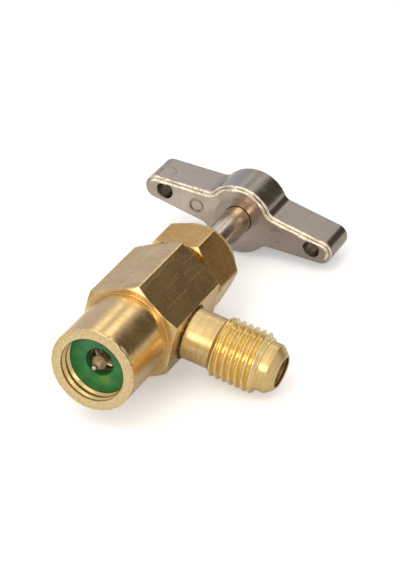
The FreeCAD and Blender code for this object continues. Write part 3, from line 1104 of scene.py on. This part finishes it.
@dataclass
class SidePort:
    """Flared side port with its external thread."""

    foot: float = 4.8
    neck: float = 4.66
    ramp_start: float = 13.95
    first_cut: float = 14.5  # where the thread begins to deepen
    thread_start: float = 14.75
    thread_end: float = 22.15
    pilot: float = 4.49
    pilot_start: float = 22.85
    cone_start: float = 24.5
    cone_tip: float = 3.09
    tip: float = 26.0
    mouth: float = 2.73
    countersink: float = 0.12
    counterbore: float = 0.50  # depth of the wider bore at the tip
    bore: float = 2.40
    thread: Thread = Thread(5.555, 4.80, 1.27, 0.07, 0.06, 15.13)

    def build(self) -> Piece:
        """Turn the port and cut its thread.

        Returns:
            The piece, not yet dressed.
        """
        crest = self.thread.crest
        profile = [
            (self.bore, self.foot),
            (self.neck, self.foot),
            (self.neck, self.ramp_start, 0.05, 10),
            (crest, self.thread_start, 0.0, 150),
            (crest, self.thread_end, 0.0, 14),
            (self.pilot, self.pilot_start, 0.05, 2),
            (self.pilot, self.cone_start, 0.03, 2),
            (self.cone_tip, self.tip, 0.04),
            (self.mouth + self.countersink, self.tip, 0.04, 1),
            (self.mouth, self.tip - 0.10, 0.0, 8),
            (self.mouth, self.tip - self.counterbore, 0.03),
            (self.bore, self.tip - self.counterbore - 0.05, 0.03),
        ]

        def rule(radius: float, angle: float, along: float) -> float:
            """Radius with the thread, which deepens from its first cut."""
            if radius > self.neck + 0.02 and self.ramp_start < along < self.pilot_start:
                begun = clamp((along - self.first_cut) / 0.7)
                groove = crest - (crest - self.thread.radius(angle, along)) * begun
                return soft_least((radius, groove), 500)
            return radius

        return Piece("side_port_turned").turn(profile, Axis.PORT, 180).reshape(Axis.PORT, rule)

    def dress(self) -> None:
        """Give the port its bright brass, a clean thread and a bore darkened with painted shade."""

        def number(place: Vector) -> int:
            """Number of the finish at a place: 1 on the thread, 2 in the bore with its painted shade."""
            radius = Axis.PORT.polar(place)[0]
            if radius < self.mouth + 0.04 and not self.bore + 0.04 < radius < self.mouth - 0.04:
                return 2
            return int(self.ramp_start + 0.3 < place.x < self.pilot_start - 0.05 and radius > 4.5)

        finishes = (BRASS_PORT, BRASS_THREAD, BRASS_BORE_PAINTED_SHADE)
        self.build().finish(finishes, "body", "brass", "side_port", sharp=32, where=number)


@dataclass
class PackingNut:
    """Hexagon nut with a front chamfer and a turned, domed rear."""

    bar: HexagonBar = HexagonBar(14.74, 33.2, 42.71, 0.45, 14.85)
    dome_foot: float = 2.45  # how far the dome reaches from the rear
    rear_radius: float = 6.92
    rim: float = 0.95
    rim_rise: float = 0.30  # height of the round rim between rear face and dome
    hole: float = 2.72
    cavity: float = 6.0
    cavity_rear: float = 40.7
    inner: float = 6.2  # inside this radius nothing is pressed into the hexagon

    def build(self) -> Piece:
        """Turn the nut and press the hexagon into it.

        Returns:
            The piece, not yet dressed.
        """
        bar = self.bar
        profile = [
            (bar.corner, bar.front, 0.0, 14),
            (bar.corner, bar.front + bar.chamfer * 1.2, 0.0, 4),
            (bar.corner, bar.rear - self.dome_foot - 0.2, 0.0, 44),
            (bar.corner, bar.rear, 0.0, 4),
            (self.hole, bar.rear, 0.08),
            (self.hole, self.cavity_rear),
            (self.cavity, self.cavity_rear),
            (self.cavity, bar.front, 0.15, 2),
        ]

        def rule(radius: float, angle: float, along: float) -> float:
            """Radius of the hexagon between its turned ends."""
            if radius <= self.inner:
                return radius
            return bar.press(radius, self.inner, soft_least(self._faces(angle, along), 700))

        piece = Piece("packing_nut_turned").turn(profile, Axis.BODY, 156)
        return piece.reshape(Axis.BODY, rule, bar.crowd(1.6))

    def _faces(self, angle: float, along: float) -> tuple[float, float, float]:
        """Radii of the nut's outer faces.

        Args:
            angle, along: a place round and along the axis.

        Returns:
            Radii of the hexagon, the front chamfer and the rear dome there.
        """
        depth = max(self.bar.rear - along, 0.0)
        shoulder = self.rear_radius + self.rim_rise
        steepness = (self.bar.corner - shoulder) / (self.dome_foot - self.rim)
        dome = self.rear_radius + self.rim_rise * math.sqrt(min(depth / self.rim, 1.0))
        dome += max(depth - self.rim, 0.0) * steepness
        return self.bar.hexagon(angle), self.bar.cone(along - self.bar.front), dome

    def dress(self) -> None:
        """Give the nut its drawn flats and its turned ends."""

        def turned(place: Vector) -> bool:
            """Whether a place is on a turned end."""
            radius, angle, along = Axis.BODY.polar(place)
            hexagon, front, dome = self._faces(angle, along)
            return min(front, dome) < hexagon and radius > self.inner + 0.1

        finishes = (BRASS_NUT, BRASS_FACED)
        self.build().finish(finishes, "body", "brass", "packing_nut", sharp=25, where=turned)


@dataclass
class Spindle:
    """Plated stem with its threaded collar."""

    radius: float = 2.66
    front: float = 1.85
    collar: float = 3.95
    hole: float = 1.16
    hole_end: float = 16.47
    start: float = 12.46
    collar_front: float = 30.86
    collar_rear: float = 34.96
    end: float = 67.02

    def dress(self) -> None:
        """Turn the stem and plate it."""
        profile = [
            (0.0, self.hole_end),
            (self.hole, self.hole_end),
            (self.hole, self.start),
            (self.front, self.start, 0.1),
            (self.front, self.collar_front),
            (self.collar, self.collar_front, 0.3),
            (self.collar, self.collar_rear, 0.3),
            (self.radius, self.collar_rear),
            (self.radius, self.end, 0.3),
            (0.0, self.end),
        ]
        piece = Piece("stem_turned").turn(profile, Axis.BODY, 96, closed=False)
        piece.finish((PLATED_STEEL,), "spindle", "plated_steel", "stem")


@dataclass
class Needle:
    """Bronze needle with guide fins."""

    shank: float = 1.20
    spigot: float = 1.10
    spigot_start: float = 12.4
    end: float = 16.4
    fins: int = 3
    fin_turn: float = -5.0  # the first one's direction, in degrees
    fin_size: Place = (1.3, 9.2, 0.42)
    fin_place: Place = (1.58, 7.75, 0)
    tip_end: float = 1.3  # where the paler point ends

    def dress(self) -> None:
        """Turn the needle, add its fins and dress it."""
        profile = [
            (0.0, 0.62),
            (0.38, 0.64, 0.08),
            (0.50, 1.20, 0.08, 3),
            (1.34, 2.80, 0.10, 6),
            (self.shank, 3.0),
            (self.shank, self.spigot_start),
            (self.spigot, self.spigot_start),
            (self.spigot, self.end, 0.2),
            (0.0, self.end),
        ]
        piece = Piece("piercing_needle_turned").turn(profile, Axis.BODY, 64, closed=False)
        bm = piece.bm
        for index in range(self.fins):
            verts = bmesh.ops.create_cube(bm, size=1.0)["verts"]
            bmesh.ops.scale(bm, vec=Vector(self.fin_size), verts=verts)
            bmesh.ops.translate(bm, vec=Vector(self.fin_place), verts=verts)
            turn = Matrix.Rotation(math.radians(self.fin_turn + index * 360 / self.fins), 3, "Y")
            bmesh.ops.rotate(bm, cent=ORIGIN, matrix=turn, verts=verts)
            round_off(bm, edges_of(verts), 0.06, 2, "EDGES")

        def tip(place: Vector) -> bool:
            """Whether a place is on the point, whose paler colour is a painted glint."""
            return place.y < self.tip_end

        piece.finish((BRONZE, NEEDLE_TIP_PAINTED_GLINT), "needle", "bronze", "piercing_needle", where=tip)


@dataclass
class CanGasket:
    """Green rubber washer at the bottom of the socket."""

    hole: float = 2.58
    radius: float = 6.08
    front: float = 2.9
    rear: float = 4.9

    def dress(self) -> None:
        """Turn the washer and dress it."""
        profile = [
            (self.hole, self.front, 0.10, 2),
            (self.radius, self.front, 0.16),
            (self.radius, self.rear),
            (self.hole - 0.06, self.rear, 0.1, 3),
        ]
        piece = Piece("can_gasket_moulded").turn(profile, Axis.BODY, 120)
        piece.finish((GREEN_RUBBER,), "body", "green_rubber", "can_gasket")


@dataclass
class PortJoint:
    """Dark ring of brazing metal round the port's foot."""

    neck: float = 4.68
    start: float = 8.41
    end: float = 8.78
    lump: float = 0.2

    def dress(self) -> None:
        """Turn the ring and dress it."""
        profile = [
            (self.neck, self.start),
            (5.12, self.start, 0.0, 2),
            (4.98, 8.58, 0.05, 2),
            (4.80, self.end, 0.05, 1),
            (self.neck, self.end),
        ]

        def rule(radius: float, angle: float, along: float) -> float:
            """Radius of the lumpy outside."""
            if radius < self.neck + 0.02:
                return radius
            place = Vector((math.cos(angle) * 5, math.sin(angle) * 5, along * 3))
            return radius + self.lump * (noise.noise(place) - 0.3) * min((radius - self.neck) * 6, 1.0)

        piece = Piece("port_joint_brazed").turn(profile, Axis.PORT, 128).reshape(Axis.PORT, rule)
        piece.finish((JOINT_METAL,), "body", "joint_metal", "port_joint")


@dataclass(frozen=True)
class Bead:
    """A rough raised line along the handle's front edge.

    Attributes:
        inward, back: place of its middle, from the outline and from the front face.
        radius: its thickness.
        seed: picks its unevenness.
    """

    inward: float
    back: float
    radius: float
    seed: float


@dataclass(frozen=True)
class RaisedRing:
    """A thin round rim on a face of the handle.

    Attributes:
        middle: its middle.
        facing: the way that its plane faces.
        radius, wire: sizes of the rim and of its wire.
    """

    middle: Place
    facing: Place
    radius: float
    wire: float

    def add_to(self, piece: Piece) -> None:
        """Raise the rim on a piece."""
        bm, middle, facing = piece.bm, Vector(self.middle), Vector(self.facing).normalized()
        side = facing.orthogonal().normalized()
        turn = Matrix((side, facing, side.cross(facing))).transposed().to_4x4()
        start = Matrix.Translation(middle + side * self.radius) @ turn
        wire = bmesh.ops.create_circle(bm, cap_ends=False, radius=self.wire, segments=10, matrix=start)
        swing(bm, wire["verts"] + edges_of(wire["verts"]), middle, facing, math.tau, 48)


@dataclass
class THandle:
    """Die-cast handle with a hub and two tapered wings."""

    front: float = 58.71
    depth: float = 8.31
    hub: float = 6.76
    root: float = 3.81  # half height that a wing would have at the axis
    end_height: float = 2.24  # half height of a wing at its end
    reach: float = 19.0
    hole_across: float = 15.02
    hole: float = 1.53
    turn: float = -1.48  # how the handle stands, in degrees
    edge: float = 0.34
    root_round: float = 0.85
    dish: float = 4.5
    dish_depth: float = 0.18
    shaft: float = 2.68
    beads: tuple[Bead, ...] = (Bead(0.08, 0.24, 0.23, 0.0), Bead(0.70, 0.02, 0.30, 7.0))
    # each ejector mark's place across and above, and its depth
    ejectors: tuple[Place, ...] = ((-8.35, -0.45, 0.13), (7.95, 0.0, 0.06))
    mark: RaisedRing = RaisedRing((-16.2, 62.0, 2.25), (-0.13, -0.02, 0.99), 1.5, 0.10)
    path: list[Vector] = field(default_factory=list)  # outline, found when the handle is built

    def build(self) -> Piece:
        """Draw the outline, extrude it and round its edges.

        Returns:
            The piece, not yet dressed.
        """
        piece = Piece("t_handle_cast")
        bm = piece.bm
        self._outline(bm)
        face = bmesh.ops.contextual_create(bm, geom=bm.edges[:])["faces"]
        self.path = [v.co.copy() for v in face[0].verts]
        made = bmesh.ops.extrude_face_region(bm, geom=face)
        rear = [g for g in made["geom"] if isinstance(g, bmesh.types.BMVert)]
        bmesh.ops.translate(bm, vec=ALONG * self.depth, verts=rear)
        bmesh.ops.recalc_face_normals(bm, faces=bm.faces[:])
        caps = [f for f in bm.faces if abs(f.normal.y) > 0.9]
        round_off(bm, list({e for f in caps for e in f.edges}), self.edge, 4, "EDGES")
        inset = self.edge + 0.08
        for level in (inset, self.depth - inset):
            everything = bm.verts[:] + bm.edges[:] + bm.faces[:]
            bmesh.ops.bisect_plane(bm, geom=everything, plane_co=ALONG * (self.front + level), plane_no=ALONG)
        return piece

    def _outline(self, bm: bmesh.types.BMesh) -> None:
        """Draw hub and wings as one line with rounded roots.

        Args:
            bm: where it is drawn.
        """
        tip = self.reach - self.end_height
        angle = self._junction((self.root - self.end_height) / tip)
        across, height = self.hub * math.cos(angle), self.hub * math.sin(angle)
        above, below = (
            self._arc(bm, (across, side * height), 0, side * (2 * angle - math.pi), 48) for side in (1, -1)
        )
        ends = [
            self._arc(bm, (side * tip, self.end_height), side * tip, side * math.pi, 30) for side in (1, -1)
        ]
        for side, end in zip((0, -1), ends):
            bm.edges.new((above[side], end[0]))
            bm.edges.new((below[side], end[-1]))
        corners = (above[0], above[-1], below[0], below[-1])
        for arc in (above, below):
            for close in (arc[4:0:-1], arc[-5:-1]):
                bmesh.ops.pointmerge(bm, verts=close, merge_co=close[0].co.copy())
        for vert in corners:
            round_off(bm, [vert], self.root_round, 5)
        wings = [e for e in bm.edges if e.calc_length() > 2]
        bmesh.ops.subdivide_edges(bm, edges=wings, cuts=26)
        bmesh.ops.remove_doubles(bm, verts=bm.verts[:], dist=1e-4)

    def _arc(
        self, bm: bmesh.types.BMesh, start: tuple[float, float], middle: float, sweep: float, steps: int
    ) -> list[bmesh.types.BMVert]:
        """Arc in the handle's front plane, drawn by turning one point.

        Args:
            bm: where it is drawn.
            start: its first point, across and up.
            middle: its centre, across.
            sweep: how far it turns, in radians.
            steps: number of edges.

        Returns:
            Its vertices, from first to last.
        """
        before = set(bm.verts)
        first = bm.verts.new((start[0], self.front, start[1]))
        swing(bm, [first], Vector((middle, self.front, 0)), ALONG, sweep, steps)
        return [v for v in bm.verts if v not in before]

    def _junction(self, slope: float) -> float:
        """Angle at which a wing's edge leaves the hub.

        Args:
            slope: how fast the wing narrows.

        Returns:
            The angle, in radians.
        """
        angle = 0.4
        for _ in range(30):
            angle = math.asin((self.root - slope * self.hub * math.cos(angle)) / self.hub)
        return angle

    def _presence(self, outward: Vector, across: float) -> float:
        """How far a bead stands out: full on the upper edge, gone on the lower.

        Args:
            outward: direction out of the outline.
            across: distance from the axis, to the right.

        Returns:
            From 0 to 1.
        """
        low = -0.85 if across > self.reach - self.end_height else 0.25
        share = clamp((outward.z - low) / 0.35)
        return share * share * (3 - 2 * share)

    def raise_bead(self, piece: Piece, bead: Bead) -> None:
        """Run a rough bead along the handle's outline.

        Args:
            piece: the handle.
            bead: its place and thickness.
        """

        def wander(here: int, pace: float, row: int) -> float:
            """Unevenness of the bead at a point of the outline."""
            return noise.noise(Vector((here * pace, bead.seed, row)))

        bm, path = piece.bm, self.path
        area = sum(a.x * b.z - b.x * a.z for a, b in zip(path, path[1:] + path[:1]))
        way = math.copysign(1.0, area)
        rings = []
        for here, point in enumerate(path):
            run = (path[(here + 1) % len(path)] - path[here - 1]).normalized()
            inward = Vector((-run.z, 0, run.x)) * way
            share = self._presence(-inward, point.x)
            rough = wander(here, 0.16, 0) + 0.35 * wander(here, 0.7, 4)
            radius = 0.03 + bead.radius * share * (0.95 + 0.7 * rough)
            sway = 0.10 * wander(here, 0.12, 9)
            centre = point + inward * (bead.inward + sway) + ALONG * (bead.back + 0.4 * (1 - share))
            turn = Matrix((inward, ALONG, inward.cross(ALONG))).transposed().to_4x4()
            lie = Matrix.Translation(centre) @ turn
            ring = bmesh.ops.create_circle(bm, cap_ends=False, radius=radius, segments=8, matrix=lie)
            rings.append(edges_of(ring["verts"]))
        for first, second in zip(rings, rings[1:] + rings[:1]):
            for face in bmesh.ops.bridge_loops(bm, edges=first + second)["faces"]:
                face.material_index = 1

    @staticmethod
    def _cutter(name: str, profile: Profile, segments: int, across: float = 0, above: float = 0) -> Piece:
        """Turned shape to be taken away, with its axis across and above the handle's own."""
        tool = Piece(name).turn(profile, Axis.BODY, segments, closed=False)
        bmesh.ops.translate(tool.bm, vec=Vector((across, 0, above)), verts=tool.bm.verts[:])
        return tool

    def cutters(self) -> list[Piece]:
        """Shapes of the wing holes, the ejector marks and the stem's hole with its dish.

        Returns:
            The shapes, ready to be taken away.
        """
        front, before, behind = self.front, self.front - 1, self.front + self.depth + 1
        wide, pin = self.hole + 0.14, 1.32
        drill = [(0, before), (wide, before), (wide, front), (self.hole, front + 0.22, 0.0, 4)]
        drill += [(self.hole, behind), (0, behind)]
        tools = [self._cutter("drill", drill, 64, across) for across in (-self.hole_across, self.hole_across)]
        for across, above, depth in self.ejectors:
            mark = [(0, before), (pin, before), (pin, front), (1.2, front + depth)]
            mark += [(0.9, front + depth * 0.6), (0, front + depth * 0.5)]
            tools.append(self._cutter("ejector", mark, 40, across, above))
        floor, opened = front + self.dish_depth, self.shaft + 0.10
        bore = [
            (0, before),
            (self.dish + 0.5, before),
            (self.dish + 0.30, front - 0.03, 0.3),
            (self.dish - 1.1, floor - 0.04, 0.7, 8),
            (opened, floor, 0.03),
            (opened, floor + 0.6),
            (self.shaft, floor + 0.7),
            (self.shaft, behind),
            (0, behind),
        ]
        return [*tools, self._cutter("bore", bore, 96)]

    def dress(self) -> None:
        """Cut the holes, raise the beads, turn the handle as it stands and plate it."""
        piece = self.build()
        for tool in self.cutters():
            piece.cut(tool)
        for bead in self.beads:
            self.raise_bead(piece, bead)
        for across, above, depth in self.ejectors:
            RaisedRing((across, self.front + 0.05, above), (0, 1, 0), 1.33, depth + 0.05).add_to(piece)
        self.mark.add_to(piece)
        turn = Matrix.Rotation(math.radians(self.turn), 3, "Y")
        bmesh.ops.rotate(piece.bm, cent=ORIGIN, matrix=turn, verts=piece.bm.verts[:])
        piece.finish((PLATED_CASTING, PLATED_BEAD), "spindle", "plated_casting", "t_handle", sharp=30)


@dataclass
class InnerGland:
    """Hidden rings of the gland, which keep their CAD solids."""

    def dress(self) -> None:
        """Give each ring its material."""
        rubber, brass = BLACK_RUBBER.material(), BRASS_NUT.material()
        rings = {"packing_washer": brass, "stem_packing": rubber, "gland_follower": brass}
        for name, material in rings.items():
            mesh = frame["nodes"][name].data
            mesh.materials.clear()
            mesh.materials.append(material)
            LOG.info("%s: dressed CAD solid", name)


@dataclass(frozen=True)
class Zone:
    """A patch of the studio that the metal mirrors.

    Attributes:
        way: its middle, a direction in the tap's own axes.
        edge, core: cosines of the angles from it where the patch begins and is full.
        colour: its light.
    """

    way: Place
    edge: float
    core: float
    colour: Colour


@dataclass(frozen=True)
class FloorSpot:
    """A patch of the floor that the metal mirrors brighter.

    Attributes:
        across, along: its middle on the floor, in metres.
        reach: where it has faded out.
        strength: its light.
    """

    across: float
    along: float
    reach: float
    strength: float


@dataclass
class Studio:
    """Pale floor, soft studio light and the camera."""

    ahead: Colour = (0.80, 0.79, 0.77)
    behind: Colour = (0.60, 0.61, 0.64)
    zones: tuple[Zone, ...] = (
        Zone((-0.62, 0.78, 0.05), 0.80, 0.97, (0.68, 0.71, 0.85)),
        Zone((0.0, 0.0, 1.0), 0.70, 0.96, (1.12, 1.06, 0.98)),
        Zone((-0.2, -0.5, 0.84), 0.93, 0.98, (1.35, 1.25, 1.12)),
        Zone((0.60, 0.79, -0.12), 0.84, 0.96, (0.80, 0.68, 0.50)),
        Zone((0.15, 0.965, -0.20), 0.956, 0.978, (1.7, 1.6, 1.3)),
        Zone((-0.443, 0.695, 0.567), 0.989, 0.996, (2.6, 2.5, 2.25)),
        Zone((-0.100, 0.695, 0.712), 0.989, 0.996, (3.1, 3.0, 2.75)),
        Zone((0.40, 0.83, 0.40), 0.9135, 0.956, (0.112, 0.093, 0.070)),
        Zone((-0.20, -0.90, 0.39), 0.970, 0.988, (4.6, 4.4, 4.0)),
        Zone((-0.255, -0.67, 0.70), 0.991, 0.997, (1.5, 1.45, 1.25)),
        Zone((0.45, -0.87, 0.20), 0.927, 0.975, (0.8, 0.75, 0.62)),
        Zone((0.47, -0.72, 0.51), 0.984, 0.995, (5.0, 4.8, 4.3)),
    )
    floor_light: float = 0.35
    floor_mirrored: float = 0.05  # how much of it the metal mirrors
    floor_spots: tuple[FloorSpot, ...] = (
        FloorSpot(0.006, -0.010, 0.030, 0.22),
        FloorSpot(-0.012, 0.012, 0.022, 0.9),
        FloorSpot(-0.027, 0.002, 0.017, 1.3),
        FloorSpot(0.045, -0.085, 0.060, 0.6),
        FloorSpot(0.020, -0.043, 0.018, 0.35),
    )
    eye: Place = (122.5235, -333.4148, 260.9909)
    right: Place = (0.8854178, 0.4226846, 0.1933212)
    up: Place = (-0.3888307, 0.4457225, 0.8063139)
    focal: float = 2645.47 * 36 / 570  # pixels of a photograph 570 high, on a 36 mm sensor
    key_place: Place = (-0.15, -0.30, 0.60)
    key_size: tuple[float, float] = (0.45, 0.35)
    key_power: float = 0.9  # in watts; place and size are in metres

    def camera(self) -> None:
        """Put the camera where the photograph was taken from."""
        right, up = AXES.direction(*self.right), AXES.direction(*self.up)
        back = right.cross(up).normalized()
        up = back.cross(right).normalized()
        turn = Matrix((right, up, back)).transposed().to_4x4()
        data = bpy.data.cameras.new("camera")
        data.lens = self.focal
        data.clip_start = 0.01
        item = put("camera", data)
        item.matrix_world = Matrix.Translation(AXES.point(*self.eye)) @ turn
        bpy.context.scene.camera = item

    def floor(self) -> None:
        """Pale floor that keeps the object's soft shadow."""
        bm = bmesh.new()
        bmesh.ops.create_grid(bm, x_segments=1, y_segments=1, size=3.0)
        item = put_mesh("floor", bm)
        bm.free()
        material, n = new_material("floor")
        rays = n.add("ShaderNodeLightPath").outputs
        place = n.add("ShaderNodeTexCoord").outputs["Object"]
        mirrored = self.floor_mirrored
        for spot in self.floor_spots:
            gap = n.vector("DISTANCE", place, (spot.across, spot.along, 0.0))
            mirrored = n.plus(n.times(n.ramp(gap, spot.reach, spot.reach * 0.4), spot.strength), mirrored)
        seen = n.math("MAXIMUM", rays["Is Camera Ray"], n.times(rays["Is Glossy Ray"], mirrored))
        n.principled(
            {
                "Base Color": n.blend(rays["Is Glossy Ray"], (0.8, 0.8, 0.8), (0.66, 0.66, 0.66)),
                "Roughness": 0.9,
                "Specular IOR Level": 0.0,
                "Emission Color": (1.0, 1.0, 1.0),
                "Emission Strength": n.times(seen, self.floor_light),
            }
        )
        item.data.materials.append(material)

    def world(self) -> None:
        """White to the camera, and a studio of light and dark to the metal."""
        world = bpy.data.worlds.new("studio")
        world.use_nodes = True
        bpy.context.scene.world = world
        world.node_tree.nodes.clear()
        n = Nodes(world.node_tree)
        rays = n.add("ShaderNodeLightPath").outputs
        look = n.add("ShaderNodeTexCoord").outputs["Generated"]
        room = n.blend(n.ramp(self._facing(n, look, (0, 1, 0)), -0.3, 0.5), self.ahead, self.behind)
        for zone in self.zones:
            share = n.ramp(self._facing(n, look, zone.way), zone.edge, zone.core)
            room = n.blend(share, room, zone.colour)
        white = (1.0, 1.0, 1.0)
        lit, plain = (n.add("ShaderNodeBackground", {"Color": light}).outputs[0] for light in (room, white))
        seen = n.math("MAXIMUM", rays["Is Camera Ray"], rays["Is Transmission Ray"])
        mixed = n.add("ShaderNodeMixShader", {0: seen, 1: lit, 2: plain})
        n.add("ShaderNodeOutputWorld", {"Surface": mixed.outputs[0]})

    @staticmethod
    def _facing(n: Nodes, look: Socket, way: Place) -> Socket:
        """How far a direction faces a way given in the tap's own axes."""
        return n.vector("DOT_PRODUCT", look, tuple(AXES.direction(*way)))

    def lamp(self) -> None:
        """Soft rectangular lamp aimed at the middle of the tap, which the metal doesn't mirror."""
        data = bpy.data.lights.new("key", "AREA")
        data.shape = "RECTANGLE"
        data.size, data.size_y = self.key_size
        data.energy = self.key_power
        item = put("key", data)
        item.location = Vector(self.key_place)
        item.rotation_euler = (Vector((0, 0, 0.01)) - item.location).to_track_quat("-Z", "Y").to_euler()
        item.visible_glossy = False

    def dress(self) -> None:
        """Set up floor, light and camera."""
        for step in (self.camera, self.floor, self.world, self.lamp):
            step()
        bpy.context.scene.view_settings.view_transform = "Standard"


def main() -> None:
    """Build the tap and its studio, piece by piece."""
    logging.basicConfig(level=logging.INFO)
    parts = (ValveBody, SidePort, PortJoint, CanGasket, Needle, Spindle, PackingNut, THandle, InnerGland)
    for part in (*parts, Studio):
        part().dress()


if __name__ == "__main__":
    main()
